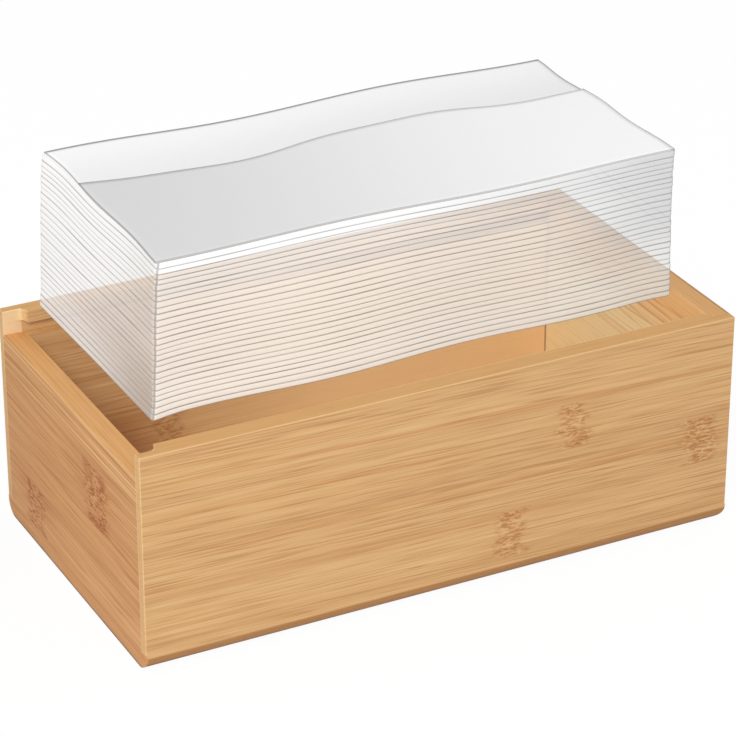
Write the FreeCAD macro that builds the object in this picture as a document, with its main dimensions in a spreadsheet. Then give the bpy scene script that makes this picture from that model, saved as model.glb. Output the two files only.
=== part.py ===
"""Bamboo tissue box with a sliding cover, all sizes in millimetres.

The box stands on its floor board with the origin at the middle of its underside, X along its
length and Z up. The cover slides in from the left end, in grooves under a lip. It is modelled
drawn out, and the pack of tissues is modelled lifted above the rim, ready to be put in.
"""
import FreeCAD, Part
import os
from types import SimpleNamespace

import Sketcher

SIZES = (
    ("box_length", 250, "outside length, along X"),
    ("box_width", 136, "outside width, along Y"),
    ("box_height", 90, "height of the rim above the table"),
    ("side_thick", 8, "thickness of the two long walls"),
    ("end_thick", 9, "thickness of the two end walls"),
    ("base_thick", 7.5, "thickness of the floor board"),
    ("base_round", 6.5, "rounding along three of the floor board's lower edges"),
    ("eased_edge", 0.5, "rounding of the exposed arrises"),
    ("joint_depth", 4, "depth of the rebate in a long wall that takes an end wall"),
    ("joint_round", 3.8, "round that the cutter leaves in that rebate"),
    ("lip_height", 4.8, "height of the lip over the groove"),
    ("groove_height", 5.2, "height of the groove that the cover runs in"),
    ("groove_depth", 4, "depth of that groove in the long walls"),
    ("cover_play", 0.3, "clearance all round the cover"),
    ("cover_gap", 62, "gap between the box and the drawn-out cover"),
    ("slot_length", 130, "length of the slot for the tissues"),
    ("slot_width", 26, "width of that slot"),
    ("slot_corner", 12, "corner radius of that slot"),
    ("slot_round", 2, "rounding of the slot's two rims"),
    ("leaf_length", 214.5, "length of a folded tissue, along X"),
    ("leaf_width", 106, "width of a folded tissue, along Y"),
    ("leaf_thick", 2, "thickness of a loosely folded leaf"),
    ("leaf_pitch", 2.25, "distance from one leaf to the next"),
    ("flap_width", 72, "width of the half-folded tissue on top"),
    ("flap_thick", 1, "thickness of the half-folded tissue on top"),
    ("stack_gap", 7, "gap between the rim and the lifted pack"),
    ("stack_shift", 4, "how far the pack lies off the middle, towards the left end"),
)
LEAF_COUNT = 27
NODE_FOLDER = "parts"


class Size:
    """A length that knows its value and the expression that gives it."""

    def __init__(self, text, value):
        self.text = text
        self.value = value

    def join(self, sign, other, value):
        text = other.text if isinstance(other, Size) else str(other)
        return Size(f"({self.text} {sign} {text})", value)

    def __add__(self, other):
        return self.join("+", other, self.value + number(other))

    def __sub__(self, other):
        return self.join("-", other, self.value - number(other))

    def __mul__(self, other):
        return self.join("*", other, self.value * number(other))

    def __truediv__(self, other):
        return self.join("/", other, self.value / number(other))

    def __neg__(self):
        return Size(f"(-1 * {self.text})", -self.value)


def number(length):
    """The value of a Size or of a plain number."""
    return length.value if isinstance(length, Size) else length


def smaller(first, second):
    """The smaller of two lengths, such as a rounding and what its wall leaves room for."""
    return Size(f"min({first.text}; {second.text})", min(first.value, second.value))


def fill_sheet(doc):
    """Write the driving sizes into a spreadsheet, and return each as a Size under its alias."""
    sheet = doc.addObject("Spreadsheet::Sheet", "Sizes")
    for row, (alias, value, words) in enumerate(SIZES, start=1):
        sheet.set(f"A{row}", words)
        sheet.set(f"B{row}", str(value))
        sheet.setAlias(f"B{row}", alias)
    doc.recompute()
    return SimpleNamespace(
        **{alias: Size(f"Sizes.{alias}", float(sheet.get(alias))) for alias, _, _ in SIZES}
    )


def new_body(doc, name):
    body = doc.addObject("PartDesign::Body", name)
    body.Label = name
    return body


def level_outline(body, name, corners, height):
    """A closed outline of straight lines on a level plane, each corner fixed from the origin."""
    sketch = body.newObject("Sketcher::SketchObject", name)
    plane = next(f for f in body.Origin.OriginFeatures if f.Role == "XY_Plane")
    sketch.AttachmentSupport = [(plane, "")]
    sketch.MapMode = "FlatFace"
    sketch.setExpression("AttachmentOffset.Base.z", height.text)
    points = [FreeCAD.Vector(x.value, y.value, 0) for x, y in corners]
    count = len(points)
    for line in range(count):
        sketch.addGeometry(Part.LineSegment(points[line], points[(line + 1) % count]), False)
    for line in range(count):
        sketch.addConstraint(Sketcher.Constraint("Coincident", line, 2, (line + 1) % count, 1))
    for line, corner in enumerate(corners):
        for kind, length in zip(("DistanceX", "DistanceY"), corner):
            fixed = Sketcher.Constraint(kind, -1, 1, line, 1, length.value)
            sketch.setExpression(f"Constraints[{sketch.addConstraint(fixed)}]", length.text)
    return sketch


def rectangle(x_low, x_high, y_low, y_high):
    return [(x_low, y_low), (x_high, y_low), (x_high, y_high), (x_low, y_high)]


def pad(body, name, corners, bottom, top):
    """A board that fills an outline from one level up to another."""
    feature = body.newObject("PartDesign::Pad", name)
    feature.Profile = level_outline(body, f"{name}_outline", corners, bottom)
    feature.setExpression("Length", (top - bottom).text)
    body.Document.recompute()
    return feature


def pocket(body, name, corners, top, depth):
    """A cut that goes down from a level through an outline, which has to take material away."""
    before = body.Shape.Volume
    feature = body.newObject("PartDesign::Pocket", name)
    feature.Profile = level_outline(body, f"{name}_outline", corners, top)
    feature.setExpression("Length", depth.text)
    body.Document.recompute()
    if not body.Shape.Volume < before:
        raise RuntimeError(f"{name} cuts nothing")
    return feature


def fillet(body, name, radius, chosen):
    """Round those edges of the body so far whose box of values passes the test."""
    base = body.Tip
    edges = [f"Edge{i}" for i, edge in enumerate(base.Shape.Edges, start=1) if chosen(edge.BoundBox)]
    if not edges:
        raise RuntimeError(f"{name} finds no edge")
    feature = body.newObject("PartDesign::Fillet", name)
    feature.Base = (base, edges)
    feature.setExpression("Radius", radius.text)
    body.Document.recompute()
    return feature


def same(first, second):
    """Whether two coordinates are the same place."""
    return abs(first - number(second)) < 1e-4


def upright_at(box, x, y):
    """Whether an edge's box is a vertical line at this x, and at this distance from the X axis."""
    return same(box.XMin, x) and same(box.XMax, x) and same(abs(box.YMin), y) and same(box.YLength, 0)


def level_at(box, height):
    return same(box.ZMin, height) and same(box.ZMax, height)


def places(s):
    """Levels and faces that more than one piece takes its size from."""
    joint_round = smaller(s.joint_round, s.joint_depth - s.joint_depth / 20)
    half_length = s.box_length / 2
    half_width = s.box_width / 2
    return SimpleNamespace(
        half_length=half_length,
        half_width=half_width,
        inner_x=half_length - s.end_thick,
        inner_y=half_width - s.side_thick,
        joint_y=half_width - s.side_thick + s.joint_depth,
        groove_y=half_width - s.side_thick + s.groove_depth,
        groove_top=s.box_height - s.lip_height,
        groove_floor=s.box_height - s.lip_height - s.groove_height,
        joint_round=smaller(joint_round, s.end_thick / 2),
        stack_bottom=s.box_height + s.stack_gap,
    )


def base_panel(doc, s, at):
    """The floor board, as large as the box, with its lower edges rounded but for the left one."""
    body = new_body(doc, "base_panel")
    outline = rectangle(-at.half_length, at.half_length, -at.half_width, at.half_width)
    pad(body, "floor_board", outline, s.base_thick * 0, s.base_thick)
    radius = smaller(s.base_round, s.base_thick - s.eased_edge)
    fillet(
        body,
        "rounded_lower_edges",
        radius,
        lambda box: level_at(box, 0) and not same(box.XMax, -at.half_length),
    )
    return body


def long_wall(doc, s, at, name, side):
    """A long wall: rebated at both ends for the end walls, and grooved under a lip.

    side is -1 for the front wall and 1 for the back wall. The rebate at the left end stays open
    above the lower end wall, and takes the cover's ear.
    """

    def band(near, far):
        """The two values of Y, low first, that lie near and far from the box's middle."""
        return (near, far) if side > 0 else (-far, -near)

    body = new_body(doc, name)
    board = rectangle(-at.half_length, at.half_length, *band(at.inner_y, at.half_width))
    pad(body, "board", board, s.base_thick, s.box_height)
    wall_height = s.box_height - s.base_thick
    rebate_band = band(at.inner_y, at.joint_y)
    left_end = rectangle(-at.half_length, -at.inner_x, *rebate_band)
    right_end = rectangle(at.inner_x, at.half_length, *rebate_band)
    pocket(body, "left_rebate", left_end, s.box_height, wall_height)
    pocket(body, "right_rebate", right_end, s.box_height, wall_height)
    fillet(
        body,
        "cutter_rounds",
        at.joint_round,
        lambda box: any(upright_at(box, x, at.joint_y) for x in (-at.inner_x, at.inner_x)),
    )
    groove = rectangle(-at.half_length, at.half_length, *band(at.inner_y, at.groove_y))
    pocket(body, "groove", groove, at.groove_top, s.groove_height)

    def exposed(box):
        """The arrises that the finished box shows: its rim, and its upright corners."""
        rim = level_at(box, s.box_height) and box.XMax < at.inner_x.value
        outer_rim = level_at(box, s.box_height) and same(abs(box.YMin), at.half_width)
        upright = box.ZLength > 1 and any(upright_at(box, x, at.half_width) for x in ends)
        return rim or outer_rim or upright

    ends = (-at.half_length, at.half_length)
    fillet(body, "eased_arrises", s.eased_edge, exposed)
    return body


def left_end_wall(doc, s, at):
    """The lower end wall, whose top is level with the floor of the grooves."""
    body = new_body(doc, "left_end_wall")
    board = rectangle(-at.half_length, -at.inner_x, -at.joint_y, at.joint_y)
    pad(body, "board", board, s.base_thick, at.groove_floor)
    fillet(body, "fitted_rounds", at.joint_round, lambda box: upright_at(box, -at.inner_x, at.joint_y))
    fillet(
        body,
        "eased_arrises",
        s.eased_edge,
        lambda box: level_at(box, at.groove_floor) and same(box.YLength, at.joint_y * 2),
    )
    return body


def right_end_wall(doc, s, at):
    """The full-height end wall, which stops the cover."""
    body = new_body(doc, "right_end_wall")
    board = rectangle(at.inner_x, at.half_length, -at.joint_y, at.joint_y)
    pad(body, "board", board, s.base_thick, s.box_height)
    fillet(body, "fitted_rounds", at.joint_round, lambda box: upright_at(box, at.inner_x, at.joint_y))
    fillet(
        body,
        "eased_arrises",
        s.eased_edge,
        lambda box: level_at(box, s.box_height) and same(box.YLength, at.joint_y * 2),
    )
    return body


def cover(doc, s, at):
    """The sliding cover: a tongue on two sides, a raised middle level with the rim, and two ears.

    It is drawn in its closed place, and its Placement then carries it out past the left end.
    """
    body = new_body(doc, "cover")
    tongue_y = at.groove_y - s.cover_play
    cover_end = at.inner_x - s.cover_play
    tongue_bottom = at.groove_floor + s.cover_play
    tongue_top = at.groove_top - s.cover_play
    tongue = rectangle(-at.half_length, cover_end, -tongue_y, tongue_y)
    pad(body, "tongue_board", tongue, tongue_bottom, tongue_top)

    ear_x = -(at.inner_x + s.cover_play)
    ear_y = at.joint_y - s.cover_play
    middle_y = at.inner_y - s.cover_play
    raised = [
        (-at.half_length, -ear_y),
        (ear_x, -ear_y),
        (ear_x, -middle_y),
        (cover_end, -middle_y),
        (cover_end, middle_y),
        (ear_x, middle_y),
        (ear_x, ear_y),
        (-at.half_length, ear_y),
    ]
    pad(body, "raised_middle", raised, tongue_top, s.box_height)
    fillet(
        body,
        "rounded_ears",
        at.joint_round,
        lambda box: upright_at(box, ear_x, ear_y) and box.ZMax > at.groove_top.value,
    )

    half_slot = s.slot_length / 2
    half_gap = s.slot_width / 2
    slot = rectangle(-half_slot, half_slot, -half_gap, half_gap)
    pocket(body, "tissue_slot", slot, s.box_height, s.box_height - tongue_bottom)
    corner = smaller(s.slot_corner, half_gap - s.eased_edge)
    fillet(body, "slot_corners", corner, lambda box: upright_at(box, half_slot, half_gap)
           or upright_at(box, -half_slot, half_gap))

    def slot_rim(box):
        inside = abs(box.XMin) <= half_slot.value + 1e-4 and abs(box.XMax) <= half_slot.value + 1e-4
        level = level_at(box, s.box_height) or level_at(box, tongue_bottom)
        return inside and level and box.YMax <= half_gap.value + 1e-4 and box.YMin >= -half_gap.value - 1e-4

    fillet(body, "rounded_slot_rims", s.slot_round, slot_rim)
    drawn_out = -(cover_end + at.half_length + s.cover_gap)
    body.setExpression("Placement.Base.x", drawn_out.text)
    return body


def leaf(doc, name, width, thick, height, s):
    """One folded tissue, or its upper half, with its near edge over the pack's near edge."""
    box = doc.addObject("Part::Box", name)
    box.Label = name
    box.setExpression("Length", s.leaf_length.text)
    box.setExpression("Width", width.text)
    box.setExpression("Height", thick.text)
    box.setExpression("Placement.Base.x", (-s.leaf_length / 2 - s.stack_shift).text)
    box.setExpression("Placement.Base.y", (-s.leaf_width / 2).text)
    box.setExpression("Placement.Base.z", height.text)
    return box


def tissue_stack(doc, s, at):
    """The pack of folded tissues, as separate leaves one above the other."""
    leaves = [
        leaf(doc, f"leaf_{i:02d}", s.leaf_width, s.leaf_thick, at.stack_bottom + s.leaf_pitch * i, s)
        for i in range(LEAF_COUNT)
    ]
    pack = doc.addObject("Part::Compound", "tissue_stack")
    pack.Label = "tissue_stack"
    pack.Links = leaves
    return pack


def top_tissue(doc, s, at):
    """The half-folded tissue on top, whose free edge lies across the pack."""
    height = at.stack_bottom + s.leaf_pitch * LEAF_COUNT
    return leaf(doc, "top_tissue", s.flap_width, s.flap_thick, height, s)


def check(doc, pieces):
    """Stop if any feature has failed, or if any piece has no sound shape."""
    for thing in doc.Objects:
        if "Invalid" in thing.State or "Error" in thing.State:
            raise RuntimeError(f"{thing.Name} failed: {thing.State}")
    for piece in pieces:
        if piece.Shape.isNull() or not piece.Shape.isValid():
            raise RuntimeError(f"{piece.Label} has no sound shape")


def main():
    doc = FreeCAD.newDocument("tissue_box")
    s = fill_sheet(doc)
    at = places(s)
    pieces = [
        base_panel(doc, s, at),
        long_wall(doc, s, at, "front_wall", -1),
        long_wall(doc, s, at, "back_wall", 1),
        left_end_wall(doc, s, at),
        right_end_wall(doc, s, at),
        cover(doc, s, at),
        tissue_stack(doc, s, at),
        top_tissue(doc, s, at),
    ]
    doc.recompute()
    check(doc, pieces)
    os.makedirs(NODE_FOLDER, exist_ok=True)
    for piece in pieces:
        piece.Shape.exportStep(os.path.join(NODE_FOLDER, f"{piece.Label}.step"))
        box = piece.Shape.BoundBox
        print(
            f"{piece.Label}: {len(piece.Shape.Solids)} solids, {piece.Shape.Volume / 1000:.1f} cm3, "
            f"X {box.XMin:.2f}..{box.XMax:.2f}, Y {box.YMin:.2f}..{box.YMax:.2f}, "
            f"Z {box.ZMin:.2f}..{box.ZMax:.2f}"
        )


main()
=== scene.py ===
"""Finishes of a bamboo tissue box with a sliding cover, and the pack of tissues that goes into it.

Lengths are in millimetres, in the box's own frame, and become metres where they reach a mesh, a
lamp or the camera. Colours are written as the eye sees them, from 0 to 255.
"""
from math import pi, radians

import bpy
import numpy as np
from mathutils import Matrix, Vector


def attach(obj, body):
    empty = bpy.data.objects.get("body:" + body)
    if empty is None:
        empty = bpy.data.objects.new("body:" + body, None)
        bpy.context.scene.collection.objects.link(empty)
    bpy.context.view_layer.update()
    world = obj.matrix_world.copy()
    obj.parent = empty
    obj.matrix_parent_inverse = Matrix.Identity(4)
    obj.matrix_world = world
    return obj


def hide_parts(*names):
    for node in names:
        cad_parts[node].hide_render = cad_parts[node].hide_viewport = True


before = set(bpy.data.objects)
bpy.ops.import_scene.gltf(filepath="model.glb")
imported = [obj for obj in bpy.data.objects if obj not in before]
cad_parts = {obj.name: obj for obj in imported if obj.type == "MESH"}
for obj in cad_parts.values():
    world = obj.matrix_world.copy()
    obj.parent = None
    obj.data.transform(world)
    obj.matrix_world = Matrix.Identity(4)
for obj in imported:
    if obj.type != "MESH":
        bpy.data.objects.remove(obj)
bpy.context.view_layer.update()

METRE = 1000.0

# Camera: where it stands, which way it looks, and its lens on a 36 mm sensor
CAMERA_PLACE = (-525.0, -1030.9, 661.5)
CAMERA_HEADING = 27.03
CAMERA_DIP = 27.24
CAMERA_LENS = 163.5
SENSOR_WIDTH = 36.0

# Light: the even light of the room, and one soft lamp at the left of the box
ROOM_LIGHT = 0.63
KEY_PLACE = (-690, -1090, 970)
KEY_TARGET = (0, 0, 50)
KEY_SIZE = 0.5
KEY_POWER = 13.8

# Tissue pack: the leaves, the waves of its top and underside, and its leaning ends
LEAF_COUNT = 27
PACK_HALF_WIDTH = 53.0
PACK_LEFT_ENDS = (-113.45, -112.15, -111.35, -109.6)
PACK_RIGHT_ENDS = (105.8, 105.0, 104.5, 104.9)
SHEET_LEFT = -109.35
SHEET_RIGHT = 104.1
PACK_SKEW = 0.5
PACK_TOP = 158.3
PACK_BOTTOM = 96.6
TOP_WAVE_LENGTH = 132.0
TOP_WAVE_HEIGHT = 0.75
BOTTOM_SLOPE = 0.01
BOTTOM_CREST = 14.8
BOTTOM_WAVE_LENGTH = 106.0
BOTTOM_WAVE_HEIGHT = 0.75
LEFT_DROOP = 0.9
RIGHT_DROOP = 0.9
FLAP_EDGE = 17.5
FLAP_FOLD = 0.3
FLAP_THICK = 0.25


def metres(length):
    return np.asarray(length, float) / METRE


def colour(red, green, blue):
    """The scene's linear colour for one that is written as the eye sees it, from 0 to 255."""
    seen = np.array((red, green, blue)) / 255.0
    linear = np.where(seen <= 0.04045, seen / 12.92, ((seen + 0.055) / 1.055) ** 2.4)
    return (*linear.tolist(), 1.0)


class Graph:
    """Adds nodes to a shader tree and joins their sockets."""

    def __init__(self, tree):
        self.tree = tree

    def put(self, socket, value):
        """Link a socket to another, or give it a plain value."""
        if isinstance(value, bpy.types.NodeSocket):
            self.tree.links.new(value, socket)
        else:
            socket.default_value = value

    def node(self, kind, inputs=None, **settings):
        made = self.tree.nodes.new(kind)
        for name, value in settings.items():
            setattr(made, name, value)
        for name, value in (inputs or {}).items():
            self.put(made.inputs[name], value)
        return made

    def math(self, operation, *values, clamp=False):
        made = self.node("ShaderNodeMath", operation=operation, use_clamp=clamp)
        for place, value in enumerate(values):
            self.put(made.inputs[place], value)
        return made.outputs[0]

    def vector(self, operation, *values):
        made = self.node("ShaderNodeVectorMath", operation=operation)
        for place, value in enumerate(values):
            self.put(made.inputs[place], value)
        return made.outputs[0]

    def split(self, vector):
        return self.node("ShaderNodeSeparateXYZ", {"Vector": vector}).outputs

    def join(self, x, y, z):
        return self.node("ShaderNodeCombineXYZ", {"X": x, "Y": y, "Z": z}).outputs[0]

    def ease(self, value, low, high, start=0.0, end=1.0):
        """A smooth step of the value between two limits."""
        inputs = {"Value": value, "From Min": low, "From Max": high, "To Min": start, "To Max": end}
        return self.node("ShaderNodeMapRange", inputs, interpolation_type="SMOOTHSTEP").outputs[0]

    def noise(self, vector, scale=1.0, detail=0.0, roughness=0.5, distortion=0.0):
        inputs = {
            "Vector": vector,
            "Scale": scale,
            "Detail": detail,
            "Roughness": roughness,
            "Distortion": distortion,
        }
        return self.node("ShaderNodeTexNoise", inputs).outputs[0]

    def mix(self, share, first, second, blend="MIX"):
        """Blend two colours."""
        made = self.node("ShaderNodeMix", data_type="RGBA", blend_type=blend, clamp_factor=True)
        for place, value in zip((0, 6, 7), (share, first, second)):
            self.put(made.inputs[place], value)
        return made.outputs[2]


def new_group(name, inputs, outputs):
    """An empty node group with named sockets, given as (name, kind, value) and (name, kind)."""
    tree = bpy.data.node_groups.new(name, "ShaderNodeTree")
    for label, kind, value in inputs:
        socket = tree.interface.new_socket(label, in_out="INPUT", socket_type=f"NodeSocket{kind}")
        socket.default_value = value
    for label, kind in outputs:
        tree.interface.new_socket(label, in_out="OUTPUT", socket_type=f"NodeSocket{kind}")
    graph = Graph(tree)
    source = graph.node("NodeGroupInput").outputs
    target = graph.node("NodeGroupOutput").inputs
    return tree, graph, source, target


def grain_group():
    """Bamboo strips glued side by side.

    Place is a point in millimetres: along the grain, across the strips, and through the board.
    Three layers of noise, stretched along the grain, make the broad bands, the streaks and the
    fibres, and each strip starts them somewhere else and has a tone of its own.
    """
    tree, g, given, out = new_group(
        "bamboo_grain",
        (
            ("Place", "Vector", (0, 0, 0)),
            ("Seed", "Float", 0.0),
            ("Strip Width", "Float", 20.0),
            ("Strip Start", "Float", 10.0),
            ("Slope", "Float", 0.0),
            ("Light", "Color", (1, 1, 1, 1)),
            ("Middle", "Color", (1, 1, 1, 1)),
            ("Dark", "Color", (1, 1, 1, 1)),
            ("Streak", "Color", (1, 1, 1, 1)),
        ),
        (("Color", "Color"), ("Tone", "Float"), ("Height", "Float")),
    )
    along, across, through = g.split(given["Place"])
    steps = g.math("DIVIDE", g.math("SUBTRACT", across, given["Strip Start"]), given["Strip Width"])
    strip = g.math("FLOOR", steps)
    strip_key = g.join(strip, given["Seed"], 0.5)
    strip_tone = g.node("ShaderNodeTexWhiteNoise", {"Vector": strip_key}, noise_dimensions="3D").outputs[0]

    start = g.math("MULTIPLY", strip_tone, 900.0)
    shifted = g.math("ADD", g.math("ADD", along, start), g.math("MULTIPLY", given["Seed"], 137.0))
    sway_place = g.vector("MULTIPLY", g.join(shifted, across, through), (0.006, 0.02, 0.02))
    sway = g.math("MULTIPLY", g.math("SUBTRACT", g.noise(sway_place), 0.5), 2.5)
    level = g.math("ADD", g.math("MULTIPLY", along, given["Slope"]), g.math("ADD", across, sway))
    point = g.join(shifted, level, through)

    bands = g.noise(g.vector("MULTIPLY", point, (0.0025, 0.10, 0.10)), detail=1.0)
    streaks = g.noise(g.vector("MULTIPLY", point, (0.005, 0.60, 0.60)), detail=2.0, roughness=0.75)
    fibres = g.noise(g.vector("MULTIPLY", point, (0.03, 1.5, 1.5)), detail=1.0, roughness=0.6)
    vessels = g.noise(g.vector("MULTIPLY", point, (0.003, 0.36, 0.36)), detail=0.0)
    threads = g.noise(g.vector("MULTIPLY", point, (0.008, 0.9, 0.9)), detail=1.0)

    tone = g.math("MULTIPLY_ADD", g.math("SUBTRACT", bands, 0.5), 0.30, 0.5)
    tone = g.math("MULTIPLY_ADD", g.math("SUBTRACT", streaks, 0.5), 0.60, tone)
    tone = g.math("MULTIPLY_ADD", g.math("SUBTRACT", fibres, 0.5), 0.80, tone)
    tone = g.math("MULTIPLY_ADD", g.math("SUBTRACT", strip_tone, 0.5), 0.16, tone)

    wood = g.mix(g.ease(tone, 0.20, 0.52), given["Dark"], given["Middle"])
    wood = g.mix(g.ease(tone, 0.52, 0.88), wood, given["Light"])
    streak_mask = g.math("MULTIPLY", g.ease(vessels, 0.60, 0.76), g.ease(streaks, 0.35, 0.6, 0.5, 0.15))
    wood = g.mix(streak_mask, wood, given["Streak"])
    thread = g.ease(g.math("ABSOLUTE", g.math("SUBTRACT", threads, 0.5)), 0.0, 0.04, 0.9, 0.0)
    thread = g.math("MULTIPLY", thread, g.ease(fibres, 0.35, 0.62, 1.0, 0.2))
    wood = g.mix(thread, wood, given["Dark"])

    from_start = g.math("SUBTRACT", across, given["Strip Start"])
    to_edge = g.math("PINGPONG", from_start, g.math("MULTIPLY", given["Strip Width"], 0.5))
    seam = g.math("MAXIMUM", g.ease(to_edge, 0.15, 0.45, 0.4, 0.0), g.ease(to_edge, 0.3, 4.0, 0.25, 0.0))
    wood = g.mix(seam, wood, given["Dark"])

    g.put(out["Color"], wood)
    g.put(out["Tone"], tone)
    g.put(out["Height"], g.math("MULTIPLY_ADD", fibres, 0.5, g.math("MULTIPLY", streaks, 0.5)))
    return tree


def node_mark_group():
    """The mark of a bamboo node on one strip: short crooked brown strokes, as tall as the strip.

    The strokes and the broader stains are the high parts of two twisted noises, the pale gleams, a
    painted highlight, the low parts of the first, and a stain runs on along the grain beyond them.
    Half Size is half the mark's length along the grain, half its height across it, and how far
    through the board it reaches.
    """
    tree, g, given, out = new_group(
        "bamboo_node_mark",
        (("Place", "Vector", (0, 0, 0)), ("Centre", "Vector", (0, 0, 0)), ("Half Size", "Vector", (7, 10, 5))),
        (("Stain", "Float"), ("Strokes", "Float"), ("Gleams", "Float")),
    )
    place = given["Place"]
    offset = g.vector("SUBTRACT", place, given["Centre"])
    along, across, through = g.split(g.vector("DIVIDE", offset, given["Half Size"]))
    wander = g.math("SUBTRACT", g.noise(g.vector("MULTIPLY", place, (0.02, 0.16, 0.16)), detail=1.0), 0.5)
    along = g.math("ABSOLUTE", g.math("MULTIPLY_ADD", wander, 1.7, along))
    height = g.ease(g.math("ABSOLUTE", across), 0.84, 1.05, 1.0, 0.0)
    depth = g.ease(g.math("ABSOLUTE", through), 0.9, 1.1, 1.0, 0.0)
    strip = g.math("MULTIPLY", height, depth)
    core = g.math("MULTIPLY", g.ease(along, 0.45, 1.15, 1.0, 0.0), strip)
    trail = g.math("MULTIPLY", g.ease(along, 0.6, 3.2, 1.0, 0.0), strip)

    twisted = g.noise(g.vector("MULTIPLY", place, (0.36, 1.15, 0.3)), detail=1.0, distortion=0.7)
    blots = g.noise(g.vector("MULTIPLY", place, (0.10, 0.13, 0.1)), detail=1.0, distortion=0.6)
    threads = g.noise(g.vector("MULTIPLY", place, (0.012, 0.55, 0.3)), detail=1.0)
    strokes = g.math("MULTIPLY", g.ease(twisted, 0.50, 0.60), core)
    # The gleams are a painted highlight among the strokes.
    gleams = g.math("MULTIPLY", g.ease(twisted, 0.34, 0.44, 1.0, 0.0), core)
    ends = g.ease(g.math("ABSOLUTE", across), 0.45, 0.85, 0.45, 1.0)
    blot = g.math("MULTIPLY", g.math("MULTIPLY", g.ease(blots, 0.40, 0.60), ends), core)
    thread = g.math("MULTIPLY", g.math("MULTIPLY", g.ease(threads, 0.46, 0.66), trail), 0.5)
    g.put(out["Stain"], g.math("MAXIMUM", g.math("MULTIPLY_ADD", core, 0.35, blot, clamp=True), thread))
    g.put(out["Strokes"], strokes)
    g.put(out["Gleams"], gleams)
    return tree


def arris_group():
    """A mask of the eased edges, where a highlight is painted: 1 where the surface faces between two of the box's
    axes.
    """
    tree, g, given, out = new_group("eased_arris", (("Width", "Float", 0.12),), (("Mask", "Float"),))
    normal = g.node("ShaderNodeNewGeometry").outputs["Normal"]
    sides = g.split(g.vector("ABSOLUTE", normal))
    squarest = g.math("MAXIMUM", g.math("MAXIMUM", sides[0], sides[1]), sides[2])
    g.put(out["Mask"], g.ease(g.math("SUBTRACT", 1.0, squarest), 0.01, given["Width"]))
    return tree


def face_group():
    """Masks of a board's faces: the level top ones, and the sawn ones that look along the box."""
    tree, g, given, out = new_group("board_faces", (), (("Top", "Float"), ("End", "Float")))
    normal = g.split(g.node("ShaderNodeNewGeometry").outputs["Normal"])
    g.put(out["Top"], g.ease(normal[2], 0.85, 0.97))
    g.put(out["End"], g.ease(g.math("ABSOLUTE", normal[0]), 0.85, 0.97))
    return tree


GRAIN = grain_group()
NODE_MARK = node_mark_group()
ARRIS = arris_group()
FACES = face_group()

LIGHT_BAMBOO = colour(219, 183, 133)
MIDDLE_BAMBOO = colour(206, 165, 115)
DARK_BAMBOO = colour(180, 134, 88)
STREAK_BAMBOO = colour(190, 137, 84)
NODE_BROWN = colour(150, 90, 44)
NODE_STAIN = colour(174, 114, 62)
ARRIS_HIGHLIGHT = colour(242, 208, 150)
WALL_ORDER = "XZY"
END_WALL_ORDER = "YZX"
PANEL_ORDER = "XYZ"
LEFT_TINT = (1.06, 0.90, 0.78)
LEFT_SEED = 3.0
LEFT_STRIP_START = 6.0


def tinted(base, tint):
    return tuple(part * share for part, share in zip(base, (*tint, 1.0)))


def put_grain(g, place, seed, strip_start, slope, tint):
    """A grain node with its place and its four tinted browns."""
    grain = g.node("ShaderNodeGroup", node_tree=GRAIN)
    inputs = {
        "Place": place,
        "Seed": seed,
        "Strip Start": strip_start,
        "Slope": slope,
        "Light": tinted(LIGHT_BAMBOO, tint),
        "Middle": tinted(MIDDLE_BAMBOO, tint),
        "Dark": tinted(DARK_BAMBOO, tint),
        "Streak": tinted(STREAK_BAMBOO, tint),
    }
    for label, value in inputs.items():
        g.put(grain.inputs[label], value)
    return grain


def bamboo(name, order, seed, strip_start, slope=0.0, tint=(1.0, 1.0, 1.0), marks=(), stain=0.4, strokes=0.5, arris_highlight=0.4, shade=None):
    """A board's finish.

    order names the axes that run along the grain, across the strips and through the board. Each
    mark is a centre and a half size in that order, and stain and strokes are how dark its ground
    and its strokes get. shade, if given, adds to the finish from the place in the box's frame, and
    returns the new colour. arris_highlight is how strongly a highlight is painted on the eased edges.
    """
    material = bpy.data.materials.new(name)
    material.use_nodes = True
    g = Graph(material.node_tree)
    surface = material.node_tree.nodes["Principled BSDF"]
    object_place = g.node("ShaderNodeTexCoord").outputs["Object"]
    place = g.vector("MULTIPLY", object_place, (METRE, METRE, METRE))
    axes = dict(zip("XYZ", g.split(place)))
    grain_place = g.join(*(axes[axis] for axis in order))
    grain = put_grain(g, grain_place, seed, strip_start, slope, tint)
    wood = grain.outputs["Color"]

    for centre, half_size in marks:
        mark = g.node("ShaderNodeGroup", node_tree=NODE_MARK)
        for label, value in (("Place", grain_place), ("Centre", centre), ("Half Size", half_size)):
            g.put(mark.inputs[label], value)
        wood = g.mix(g.math("MULTIPLY", mark.outputs["Stain"], stain), wood, tinted(NODE_STAIN, tint))
        # Pale gleams: a painted highlight among the strokes.
        wood = g.mix(g.math("MULTIPLY", mark.outputs["Gleams"], 0.45), wood, tinted(LIGHT_BAMBOO, tint))
        wood = g.mix(g.math("MULTIPLY", mark.outputs["Strokes"], strokes), wood, tinted(NODE_BROWN, tint))

    if shade:
        wood = shade(g, axes, wood)
    # A highlight painted on the eased edges, as bright lines.
    edge = g.node("ShaderNodeGroup", node_tree=ARRIS)
    wood = g.mix(g.math("MULTIPLY", edge.outputs["Mask"], arris_highlight), wood, ARRIS_HIGHLIGHT)
    bump = g.node(
        "ShaderNodeBump",
        {"Height": grain.outputs["Height"], "Strength": 0.25, "Distance": 0.0002},
    )
    g.put(surface.inputs["Base Color"], wood)
    g.put(surface.inputs["Roughness"], g.ease(grain.outputs["Tone"], 0.2, 0.8, 0.6, 0.48))
    g.put(surface.inputs["Normal"], bump.outputs[0])
    surface.inputs["Specular IOR Level"].default_value = 0.15
    return material


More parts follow.
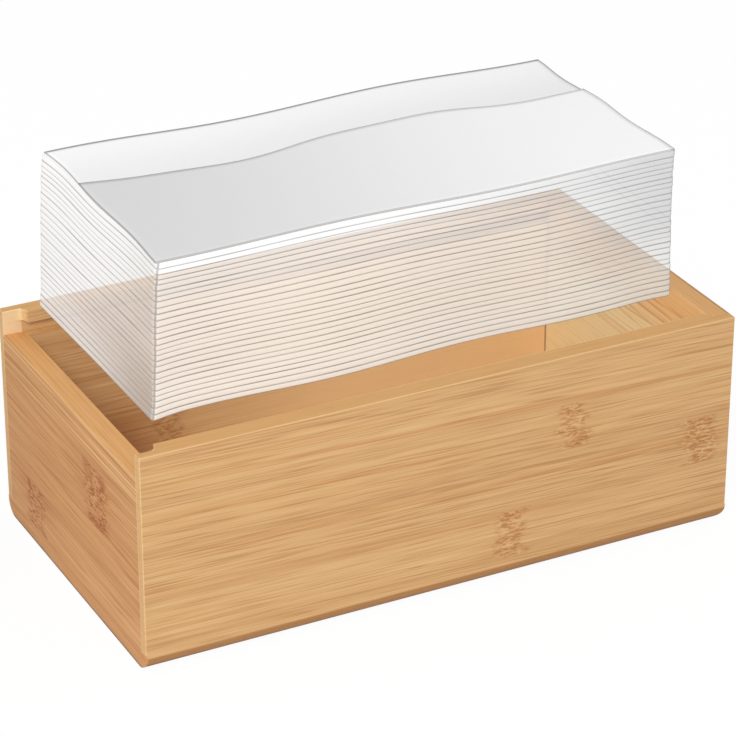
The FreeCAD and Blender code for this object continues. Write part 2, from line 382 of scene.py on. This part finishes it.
def shade_base(g, axes, wood):
    """The rounded lower edge, darker and browner, partly its own colour and partly painted shade where it faces down,
    and the end grain's match on the left.

    At the left end the board takes the grain of the wall above it. All round, a painted contact shade darkens its
    lowest few millimetres, less high at the left end.
    """
    # Painted shade, with a browner colour of its own, on the rounded lower edge where it faces down; not on the left
    # end face.
    low = g.ease(axes["Z"], 5.5, 6.3, 0.75, 0.0)
    low = g.math("MULTIPLY", low, g.ease(axes["X"], -124.6, -124.0))
    wood = g.mix(low, wood, colour(156, 106, 60))
    end_place = g.join(axes["Y"], axes["Z"], axes["X"])
    end = put_grain(g, end_place, LEFT_SEED, LEFT_STRIP_START, 0.0, LEFT_TINT).outputs["Color"]
    wood = g.mix(g.ease(axes["X"], -124.6, -124.0, 1.0, 0.0), wood, end)
    # Painted contact shade along the lowest millimetres, less high on the left end face.
    contact_shade_height = g.ease(axes["X"], -124.6, -124.0, 1.4, 3.6)
    return g.mix(g.ease(axes["Z"], 0.2, contact_shade_height, 0.85, 0.0), wood, colour(112, 98, 90))


def shade_wall(g, axes, wood):
    """A long wall: its rim, painted oranger on the level top for how light falls there, its sawn ends, the pale cut
    of the rebate, and its inner face.

    The inner face has painted shade, dark and red, at the low left end, painted light towards the right
    end, and ends in a dark joint.
    """
    faces = g.node("ShaderNodeGroup", node_tree=FACES)
    # Oranger tone painted on the level top faces, for how light falls on the rim.
    wood = g.mix(g.math("MULTIPLY", faces.outputs["Top"], 0.55), wood, colour(220, 166, 100))
    wood = g.mix(g.math("MULTIPLY", faces.outputs["End"], 0.6), wood, colour(232, 186, 128))
    away = g.math("ABSOLUTE", axes["Y"])
    in_rebate = g.ease(axes["X"], -117.6, -117.0, 0.75, 0.0)
    wood = g.mix(g.math("MULTIPLY", in_rebate, g.ease(away, 64.1, 64.4, 1.0, 0.0)), wood, colour(238, 208, 166))

    inner = g.ease(away, 60.05, 60.3, 1.0, 0.0)
    # Painted light on the inner face, growing towards the right end.
    painted_light = g.math("MULTIPLY", inner, g.ease(axes["X"], -70.0, 30.0, 0.0, 0.85))
    wood = g.mix(painted_light, wood, colour(242, 204, 152))
    joint = g.math("MULTIPLY", inner, g.ease(axes["X"], 115.0, 115.7, 0.0, 0.7))
    wood = g.mix(joint, wood, colour(120, 76, 44))
    # Painted shade, dark and red, in the low left corner of the inner face.
    corner = g.math("MULTIPLY", g.ease(axes["X"], -90.0, -45.0, 0.75, 0.0), g.ease(axes["Z"], 14.0, 56.0, 1.0, 0.1))
    return g.mix(g.math("MULTIPLY", inner, corner), wood, colour(146, 80, 44))


def shade_left_end(g, axes, wood):
    """The left wall: its rim, painted oranger on the level top for how light falls there, and pale and dark lines
    just below it.
    """
    faces = g.node("ShaderNodeGroup", node_tree=FACES)
    # Oranger tone painted on the level top faces, for how light falls on the rim.
    wood = g.mix(g.math("MULTIPLY", faces.outputs["Top"], 0.5), wood, colour(226, 170, 106))
    fine = g.noise(g.join(g.math("MULTIPLY", axes["Y"], 0.01), axes["Z"], 0.0), detail=1.0)
    near_rim = g.math("MULTIPLY", g.ease(axes["X"], -124.4, -123.0, 1.0, 0.0), g.ease(axes["Z"], 60.0, 72.0))
    wood = g.mix(g.math("MULTIPLY", near_rim, g.ease(fine, 0.52, 0.64, 0.0, 0.55)), wood, colour(240, 200, 140))
    return g.mix(g.math("MULTIPLY", near_rim, g.ease(fine, 0.36, 0.46, 0.3, 0.0)), wood, colour(168, 112, 66))


def shade_right_end(g, axes, wood):
    """The right wall: its rim, painted oranger on the level top for how light falls there, with a brown outer edge,
    and its inner face, painted pale as light, paler lower down, with lines.
    """
    faces = g.node("ShaderNodeGroup", node_tree=FACES)
    top = faces.outputs["Top"]
    # Oranger tone painted on the level top faces, for how light falls on the rim.
    wood = g.mix(g.math("MULTIPLY", top, 0.5), wood, colour(226, 170, 106))
    wood = g.mix(g.math("MULTIPLY", top, g.ease(axes["X"], 123.2, 124.2, 0.0, 0.6)), wood, colour(150, 104, 62))
    # Painted light on the inner face, paler lower down.
    inner = g.ease(axes["X"], 116.05, 116.3, 1.0, 0.0)
    low = g.mix(g.ease(axes["Z"], 62.0, 84.0), colour(255, 236, 186), colour(250, 202, 140))
    wood = g.mix(g.math("MULTIPLY", inner, 0.93), wood, low)
    fine = g.noise(g.join(g.math("MULTIPLY", axes["Y"], 0.006), g.math("MULTIPLY", axes["Z"], 0.4), 0.0), detail=2.0)
    lines = g.ease(g.math("ABSOLUTE", g.math("SUBTRACT", fine, 0.5)), 0.0, 0.05, 0.55, 0.0)
    lines = g.math("MULTIPLY", lines, g.ease(axes["Z"], 45.0, 75.0, 0.25, 1.0))
    return g.mix(g.math("MULTIPLY", inner, lines), wood, colour(206, 138, 82))


def finish_boards():
    """Give every board its own bamboo, with the grain along its length."""
    front_marks = (
        ((54.0, 60.0, -68.0), (7.0, 10.0, 6.0)),
        ((111.5, 39.5, -68.0), (9.0, 10.5, 6.0)),
        ((28.5, 19.5, -68.0), (8.0, 10.5, 6.0)),
    )
    left_marks = (
        ((-26.0, 52.5, -125.0), (12.0, 13.0, 6.0)),
        ((37.0, 16.0, -125.0), (10.0, 11.0, 6.0)),
    )
    back_marks = (((-58.0, 24.0, 60.0), (7.0, 10.0, 5.0)),)
    boards = {
        "front_wall": bamboo(
            "bamboo_front", WALL_ORDER, 1.0, 10.0, slope=0.025, marks=front_marks, shade=shade_wall
        ),
        "back_wall": bamboo("bamboo_back", WALL_ORDER, 2.0, 14.0, slope=-0.01, marks=back_marks, shade=shade_wall),
        "left_end_wall": bamboo(
            "bamboo_left_end", END_WALL_ORDER, LEFT_SEED, LEFT_STRIP_START, tint=LEFT_TINT, marks=left_marks, stain=0.75,
            strokes=0.75, arris_highlight=0.25, shade=shade_left_end
        ),
        "right_end_wall": bamboo("bamboo_right_end", END_WALL_ORDER, 4.0, 12.0, shade=shade_right_end),
        "base_panel": bamboo("bamboo_base", WALL_ORDER, 1.0, 10.0, slope=0.025, arris_highlight=0.0, shade=shade_base),
        "cover": bamboo("bamboo_cover", PANEL_ORDER, 6.0, 10.0),
    }
    for node, material in boards.items():
        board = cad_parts[node]
        board.data.materials.clear()
        board.data.materials.append(material)


def paper(name, opacity, thicker, gap_shade_strength, edge_shade_strength, shade):
    """Tissue paper, thin enough to see through, with a grey line of painted shade between the leaves and where a fold
    or an edge turns.

    Map one holds the distance round the pack and the leaf's number, map two the distances to the
    nearest edges, all in millimetres. The lowest leaves are less clear, by thicker. A face seen
    from behind shows nothing, so that only the outermost paper counts.
    """
    material = bpy.data.materials.new(name)
    material.use_nodes = True
    g = Graph(material.node_tree)
    surface = material.node_tree.nodes["Principled BSDF"]
    leaf_map = g.node("ShaderNodeUVMap", uv_map="leaf_map").outputs[0]
    edge_map = g.node("ShaderNodeUVMap", uv_map="edge_map").outputs[0]
    round_pack, leaf, _ = g.split(leaf_map)
    edge_one, edge_two, _ = g.split(edge_map)
    to_line = g.math("PINGPONG", leaf, 0.5)
    line_noise = g.noise(g.join(g.math("MULTIPLY", round_pack, 0.03), g.math("FLOOR", g.math("ADD", leaf, 0.5)), 0.0))
    gap_shade = g.math("MULTIPLY", g.ease(to_line, 0.07, 0.15, 1.0, 0.0), g.ease(line_noise, 0.3, 0.7, 0.7, 1.0))
    faces = g.node("ShaderNodeGroup", node_tree=FACES)
    fainter = g.ease(faces.outputs["End"], 0.0, 1.0, gap_shade_strength, 0.65 * gap_shade_strength)
    under_rim = g.ease(leaf, LEAF_COUNT - 0.7, LEAF_COUNT - 0.2, 1.0, 0.0)
    gap_shade = g.math("MULTIPLY", g.math("MULTIPLY", gap_shade, fainter), under_rim)
    outline = g.ease(g.math("MINIMUM", edge_one, edge_two), 0.3, 0.65, edge_shade_strength, 0.0)
    line_shade = g.math("MAXIMUM", gap_shade, outline)

    place = g.vector("MULTIPLY", g.node("ShaderNodeTexCoord").outputs["Object"], (METRE, METRE, METRE))
    x, y, z = g.split(place)
    paper_colour = shade(g, x, y, leaf)
    # The grey lines are painted shade in the gaps between the leaves and along folds and edges.
    paper_colour = g.mix(line_shade, paper_colour, colour(146, 145, 143))
    crepe = g.noise(place, scale=0.9, detail=3.0, roughness=0.7)
    bump = g.node("ShaderNodeBump", {"Height": crepe, "Strength": 0.15, "Distance": 0.0002})

    back = g.node("ShaderNodeNewGeometry").outputs["Backfacing"]
    seen = g.node("ShaderNodeLightPath").outputs["Is Camera Ray"]
    shown = g.math("MULTIPLY", g.math("SUBTRACT", 1.0, back), g.math("MULTIPLY_ADD", seen, 0.95, 0.05))
    clear = g.math("ADD", g.ease(leaf, 1.0, 9.0, thicker, 0.0), opacity)
    alpha = g.math("MULTIPLY", g.math("MULTIPLY_ADD", line_shade, 0.2, clear, clamp=True), shown)
    g.put(surface.inputs["Base Color"], paper_colour)
    g.put(surface.inputs["Alpha"], alpha)
    g.put(surface.inputs["Normal"], bump.outputs[0])
    surface.inputs["Roughness"].default_value = 0.9
    surface.inputs["Specular IOR Level"].default_value = 0.05
    return material


def shade_pack(g, x, y, leaf):
    """The pack's sides: grey in the topmost leaves, creamy below, and painted shade greying them to the right.

    The left end is light at the far side and has grey painted shade beside the front, low down.
    """
    creamy = g.mix(g.ease(x, -80.0, 30.0), colour(250, 246, 239), colour(233, 233, 229))
    # Painted shade: the topmost leaves grey towards the right.
    grey = g.mix(g.ease(x, -20.0, 50.0), colour(238, 238, 238), colour(218, 218, 218))
    white = g.mix(g.ease(leaf, 18.0, 24.0), creamy, grey)
    # Painted shade, grey, towards the right end.
    greyest = g.mix(g.ease(leaf, 4.0, 16.0), colour(222, 221, 215), colour(186, 186, 188))
    white = g.mix(g.ease(x, 40.0, 105.0), white, greyest)
    faces = g.node("ShaderNodeGroup", node_tree=FACES)
    # Painted shade, grey, low down beside the front on the left end.
    near = g.mix(g.ease(leaf, 1.0, 13.0), colour(202, 194, 186), colour(238, 237, 234))
    end = g.mix(g.ease(y, -53.0, 20.0), near, colour(255, 255, 255))
    return g.mix(faces.outputs["End"], white, end)


def shade_sheet(g, x, y, leaf):
    """The top tissue: its upper half painted greyer at the left as shade, its lower half painted greyer beside the
    free edge as the flap's shadow.

    leaf is 0 on the lower half and 1 on the upper one.
    """
    # Painted shade: the flap greys towards the left.
    upper = g.mix(g.ease(x, -125.0, 110.0), colour(217, 217, 217), colour(253, 253, 253))
    # Painted shadow of the flap on the lower half, beside its free edge.
    lower = g.mix(g.ease(y, 14.0, 56.0), colour(242, 242, 242), colour(255, 255, 255))
    return g.mix(leaf, lower, upper)


def new_piece(name, points, faces, maps, material, body):
    """A mesh piece from points in millimetres, quads, and its maps, with one value a face corner."""
    mesh = bpy.data.meshes.new(name)
    mesh.from_pydata(metres(points), [], faces.tolist())
    for label, values in maps.items():
        layer = mesh.uv_layers.new(name=label)
        layer.uv.foreach_set("vector", values.astype(np.float32).ravel())
    mesh.polygons.foreach_set("use_smooth", np.ones(len(faces), bool))
    mesh.materials.append(material)
    mesh.update()
    piece = bpy.data.objects.new(name, mesh)
    bpy.context.scene.collection.objects.link(piece)
    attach(piece, body)
    return piece


def pack_top(x, y):
    """The height of the pack's top: one wave along its length, which crosses it at a slant."""
    swell = TOP_WAVE_HEIGHT + 0.2 * y / PACK_HALF_WIDTH
    return PACK_TOP + swell * np.cos(2 * pi * (x - 0.66 * y) / TOP_WAVE_LENGTH)


def pack_bottom(x, y):
    """The height of the pack's underside: a wave that rises to the right, and two drooping corners."""
    wave = BOTTOM_WAVE_HEIGHT * np.cos(2 * pi * (x - BOTTOM_CREST) / BOTTOM_WAVE_LENGTH)
    left_corner = LEFT_DROOP * np.clip((-98.0 - x) / 14.0, 0, 1) ** 2
    right_corner = RIGHT_DROOP * np.clip((x - 86.0) / 16.0, 0, 1) ** 2
    droop = (left_corner + right_corner) * np.clip(-y / PACK_HALF_WIDTH, 0, 1)
    return PACK_BOTTOM + BOTTOM_SLOPE * x + wave - droop


def end_wobble(share, y):
    """How far the leaves' ends wander along the pack: two waves at the right end, one at the left.

    share runs from -1 at the left end to 1 at the right one, and the corners stay in place.
    """
    right_end = -0.7 * (1 + np.cos(2 * pi * (y - 30.0) / 52.0)) * np.clip(share, 0, 1) ** 4
    left_end = (0.5 + 0.55 * np.cos(2 * pi * (y - 36.0) / 64.0)) * np.clip(-share, 0, 1) ** 4
    return (right_end + left_end) * np.clip(1 - (y / PACK_HALF_WIDTH) ** 8, 0, 1)


def through_four(values, share):
    """A smooth curve through four values that lie evenly spaced from share 0 to 1."""
    return np.polyval(np.polyfit(np.linspace(0, 1, 4), values, 3), share)


def border(columns, rows):
    """The border points of a grid from -1 to 1, once round, and their places in the grid."""
    across = np.linspace(-1, 1, columns + 1)
    along_x = 0.35 * across + 0.65 * np.sin(across * pi / 2)
    down = np.linspace(-1, 1, rows + 1)
    along_y = 0.35 * down + 0.65 * np.sin(down * pi / 2)
    i = np.concatenate(
        [np.arange(columns), np.full(rows, columns), np.arange(columns, 0, -1), np.zeros(rows, int)]
    )
    j = np.concatenate(
        [np.zeros(columns, int), np.arange(rows), np.full(columns, rows), np.arange(rows, 0, -1)]
    )
    return along_x, along_y, i, j


def tissue_pack():
    """The pack of folded leaves as one closed skin.

    Its side is a grid: once round the pack, and up through the leaves, with a narrow valley
    between each leaf and the next. The leaves differ in thickness, sway along their length and
    lie a little askew on each other. A cap of a finer grid closes the top and the underside.
    """
    rng = np.random.default_rng(7)
    columns, rows = 72, 36
    grid_x, grid_y, i, j = border(columns, rows)
    around_x, around_y = grid_x[i], grid_y[j]
    count = len(i)

    steps = np.array([0.0, 0.06, 0.14, 0.5, 0.86, 0.94])
    valley = np.array([0.2, 0.07, 0.02, 0.0, 0.02, 0.07])
    leaf_steps = np.append((np.arange(LEAF_COUNT)[:, None] + steps).ravel(), LEAF_COUNT)
    inset = np.append(np.tile(valley, LEAF_COUNT), valley[0])

    thickness = 1 + rng.uniform(-0.16, 0.16, LEAF_COUNT)
    seams = np.append(0, np.cumsum(thickness)) / thickness.sum()
    level = np.interp(leaf_steps, np.arange(LEAF_COUNT + 1), seams)
    drift = np.cumsum(rng.uniform(-0.7, 0.7, LEAF_COUNT + 1))
    phase = np.interp(leaf_steps, np.arange(LEAF_COUNT + 1), drift)
    askew = rng.uniform(-0.12, 0.12, (LEAF_COUNT, 2)).repeat(len(steps), axis=0)
    askew = np.vstack([askew, askew[-1]])

    left = through_four(PACK_LEFT_ENDS, level)
    right = through_four(PACK_RIGHT_ENDS, level)
    half_x = (right - left) / 2 - inset
    half_y = PACK_HALF_WIDTH - inset

    def outline(u, v):
        """Points of the leaves' outline, with its corners rounded."""
        x = u * half_x[:, None]
        y = v * half_y[:, None]
        radius = 1.6
        over_x = np.maximum(np.abs(x) - (half_x[:, None] - radius), 0)
        over_y = np.maximum(np.abs(y) - (half_y[:, None] - radius), 0)
        reach = np.hypot(over_x, over_y)
        corner = (over_x > 0) & (over_y > 0)
        pull = np.where(corner, radius / np.maximum(reach, 1e-6), 1.0)
        x = np.where(corner, np.sign(x) * (half_x[:, None] - radius + over_x * pull), x)
        y = np.where(corner, np.sign(y) * (half_y[:, None] - radius + over_y * pull), y)
        return x, y

    x, y = outline(around_x[None], around_y[None])
    y = y + askew[:, 1:2]
    x = x + (left + right)[:, None] / 2 + askew[:, 0:1] + PACK_SKEW * around_x[None] * y / PACK_HALF_WIDTH
    x = x + end_wobble(around_x[None], y) * level[:, None] ** 3
    sway = 0.004 * np.sin(2 * pi * (x + y) / 95.0 + phase[:, None]) * np.sin(pi * level)[:, None]
    share = np.clip(level[:, None] + sway, 0, 1)
    low, high = pack_bottom(x, y), pack_top(x, y) - 1.0
    z = low + (high - low) * share
    side = np.stack([x, y, z], -1)

    def cap(ring_row, height):
        """The cap's inner points, and its grid of point numbers with the ring's own on the border."""
        inner_x, inner_y = np.meshgrid(grid_x[1:-1], grid_y[1:-1], indexing="ij")
        cap_y = inner_y * half_y[ring_row] + askew[ring_row, 1]
        cap_x = inner_x * half_x[ring_row] + (left + right)[ring_row] / 2 + askew[ring_row, 0]
        cap_x = cap_x + PACK_SKEW * inner_x * cap_y / PACK_HALF_WIDTH
        cap_x = cap_x + end_wobble(inner_x, cap_y) * level[ring_row] ** 3
        return np.stack([cap_x, cap_y, height(cap_x, cap_y)], -1).reshape(-1, 3)

    last = len(leaf_steps) - 1
    bottom_points = cap(0, pack_bottom)
    top_points = cap(last, lambda a, b: pack_top(a, b) - 1.0)
    points = np.concatenate([side.reshape(-1, 3), bottom_points, top_points])

    numbers = np.arange(side.shape[0] * count).reshape(-1, count)
    wrapped = np.append(numbers, numbers[:, :1], axis=1)
    side_faces = np.stack(
        [wrapped[:-1, :-1], wrapped[:-1, 1:], wrapped[1:, 1:], wrapped[1:, :-1]], -1
    ).reshape(-1, 4)

    def cap_faces(ring_row, first):
        grid = np.zeros((columns + 1, rows + 1), int)
        grid[1:-1, 1:-1] = first + np.arange((columns - 1) * (rows - 1)).reshape(columns - 1, rows - 1)
        grid[i, j] = numbers[ring_row]
        return np.stack([grid[:-1, :-1], grid[1:, :-1], grid[1:, 1:], grid[:-1, 1:]], -1).reshape(-1, 4)

    first_cap = side.shape[0] * count
    bottom_faces = cap_faces(0, first_cap)[:, ::-1]
    top_faces = cap_faces(last, first_cap + len(bottom_points))
    faces = np.concatenate([side_faces, bottom_faces, top_faces])

    step = np.hypot(np.diff(np.append(x[0], x[0, 0])), np.diff(np.append(y[0], y[0, 0])))
    length_round = np.append(0, np.cumsum(step))
    corners = length_round[np.array([0, columns, columns + rows, 2 * columns + rows, count])]
    to_corner = np.abs(length_round[:, None] - corners).min(1)
    rise = level * (PACK_TOP - PACK_BOTTOM)
    to_rim = rise

    def corner_values(per_column, per_row):
        """Two values for each corner of each side face, one from its column and one from its row."""
        column = np.broadcast_to(per_column, (len(leaf_steps), count + 1))
        row = np.broadcast_to(per_row[:, None], column.shape)
        grid = np.stack([column, row], -1)
        quads = np.stack([grid[:-1, :-1], grid[:-1, 1:], grid[1:, 1:], grid[1:, :-1]], 2)
        return quads.reshape(-1, 2)

    cap_corners = 4 * (len(bottom_faces) + len(top_faces))
    plain_leaf = np.tile([0.0, 0.5], (cap_corners, 1))
    far_edge = np.full((cap_corners, 2), 9.0)
    maps = {
        "leaf_map": np.concatenate([corner_values(length_round, leaf_steps), plain_leaf]),
        "edge_map": np.concatenate([corner_values(to_corner, to_rim), far_edge]),
    }
    piece = new_piece("tissue_pack", points, faces, maps, paper("tissue_pack", 0.65, 0.1, 0.95, 0.8, shade_pack), "tissues")
    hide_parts("tissue_stack")
    return piece


def top_tissue():
    """The half-folded tissue on top, as one thin sheet.

    It runs from the pack's far edge to the near one, turns over in a small fold and comes back to
    a wavy free edge. Its grid is the distance along the pack and the distance along that path.
    """
    left, right = SHEET_LEFT, SHEET_RIGHT
    lower = np.linspace(PACK_HALF_WIDTH, -PACK_HALF_WIDTH + FLAP_FOLD, 40)
    turn = np.linspace(0, pi, 7)[1:-1]
    upper = np.linspace(0, 1, 28)
    x = np.linspace(left, right, 90)[:, None]
    long_wave = 2.8 * np.cos(2 * pi * (x - 28.3) / 158.0)
    short_wave = 0.7 * np.cos(2 * pi * (x + 12.2) / 55.7)
    free_edge = FLAP_EDGE + long_wave + short_wave
    fold_start = -PACK_HALF_WIDTH + FLAP_FOLD
    y = np.concatenate(
        [
            np.broadcast_to(lower, (len(x), len(lower))),
            np.broadcast_to(fold_start - FLAP_FOLD * np.sin(turn), (len(x), len(turn))),
            fold_start + upper * (free_edge - fold_start),
        ],
        axis=1,
    )
    drop = np.concatenate(
        [
            np.full(len(lower), -2 * FLAP_FOLD),
            -FLAP_FOLD * (1 + np.cos(turn)),
            np.zeros(len(upper)),
        ]
    )
    share = (2 * x - left - right) / (right - left)
    across = x + PACK_SKEW * y / PACK_HALF_WIDTH + end_wobble(share, y)
    z = pack_top(across, y) - FLAP_THICK / 2 + drop
    points = np.stack([across, y, z], -1).reshape(-1, 3)
    numbers = np.arange(len(points)).reshape(len(x), -1)
    faces = np.stack(
        [numbers[:-1, :-1], numbers[:-1, 1:], numbers[1:, 1:], numbers[1:, :-1]], -1
    ).reshape(-1, 4)

    is_lower = np.arange(y.shape[1]) < len(lower)
    to_far = np.where(is_lower, 0.35 * (PACK_HALF_WIDTH - y), 0.42 + 0.8 * (free_edge - y))
    to_fold = np.where(is_lower, 9.0, 1.3 * (y + PACK_HALF_WIDTH))
    to_end = np.where(is_lower, 1.0, 1.6) * np.minimum(x - left, right - x)
    grid = np.stack([to_end, np.minimum(to_far, to_fold)], -1)
    quads = np.stack([grid[:-1, :-1], grid[:-1, 1:], grid[1:, 1:], grid[1:, :-1]], 2).reshape(-1, 2)
    half = np.broadcast_to(np.where(is_lower, 0.0, 1.0), y.shape)
    halves = np.stack([half[:-1, :-1], half[:-1, 1:], half[1:, 1:], half[1:, :-1]], 2).reshape(-1)
    maps = {"leaf_map": np.stack([0 * halves, halves], -1), "edge_map": quads}
    piece = new_piece("top_tissue_sheet", points, faces, maps, paper("tissue_sheet", 0.97, 0.0, 0.0, 0.62, shade_sheet), "tissues")
    thicken = piece.modifiers.new("thickness", "SOLIDIFY")
    thicken.thickness = FLAP_THICK / METRE
    thicken.offset = 0.0
    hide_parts("top_tissue")
    return piece


def camera():
    data = bpy.data.cameras.new("camera")
    data.sensor_width = SENSOR_WIDTH
    data.lens = CAMERA_LENS
    data.clip_end = 20.0
    made = bpy.data.objects.new("camera", data)
    made.location = metres(CAMERA_PLACE)
    made.rotation_euler = (radians(90 - CAMERA_DIP), 0, -radians(CAMERA_HEADING))
    bpy.context.scene.collection.objects.link(made)
    bpy.context.scene.camera = made


def seen_rays(g):
    """1 for what the camera sees, also in gloss and through something clear."""
    path = g.node("ShaderNodeLightPath").outputs
    either = g.math("MAXIMUM", path["Is Camera Ray"], path["Is Glossy Ray"])
    return g.math("MAXIMUM", either, path["Is Transmission Ray"])


def floor():
    """A white studio floor that still takes a faint shadow."""
    half = 6.0
    mesh = bpy.data.meshes.new("floor")
    mesh.from_pydata([(-half, -half, 0), (half, -half, 0), (half, half, 0), (-half, half, 0)], [], [(0, 1, 2, 3)])
    made = bpy.data.objects.new("floor", mesh)
    bpy.context.scene.collection.objects.link(made)
    material = bpy.data.materials.new("studio_floor")
    material.use_nodes = True
    g = Graph(material.node_tree)
    surface = material.node_tree.nodes["Principled BSDF"]
    surface.inputs["Base Color"].default_value = colour(236, 236, 236)
    surface.inputs["Roughness"].default_value = 0.9
    glow = g.node("ShaderNodeEmission", {"Color": (1, 1, 1, 1), "Strength": 1.02})
    share = g.math("MULTIPLY", seen_rays(g), 0.92)
    blend = g.node("ShaderNodeMixShader", {0: share, 1: surface.outputs[0], 2: glow.outputs[0]})
    g.put(material.node_tree.nodes["Material Output"].inputs["Surface"], blend.outputs[0])
    mesh.materials.append(material)


def area_lamp(name, place, target, size, power):
    data = bpy.data.lights.new(name, "AREA")
    data.shape = "DISK"
    data.size = size
    data.energy = power
    lamp = bpy.data.objects.new(name, data)
    lamp.location = metres(place)
    direction = Vector(metres(target)) - Vector(metres(place))
    lamp.rotation_mode = "QUATERNION"
    lamp.rotation_quaternion = direction.to_track_quat("-Z", "Y")
    bpy.context.scene.collection.objects.link(lamp)


def studio():
    """An even white room, and a soft lamp above the front of the box, a little to its left."""
    world = bpy.data.worlds.new("studio")
    bpy.context.scene.world = world
    world.use_nodes = True
    g = Graph(world.node_tree)
    room = world.node_tree.nodes["Background"]
    room.inputs["Color"].default_value = (1, 1, 1, 1)
    g.put(room.inputs["Strength"], g.math("MULTIPLY_ADD", seen_rays(g), 1 - ROOM_LIGHT, ROOM_LIGHT))
    area_lamp("key_lamp", KEY_PLACE, KEY_TARGET, KEY_SIZE, KEY_POWER)
    bpy.context.scene.view_settings.view_transform = "Standard"


camera()
floor()
studio()
finish_boards()
tissue_pack()
top_tissue()
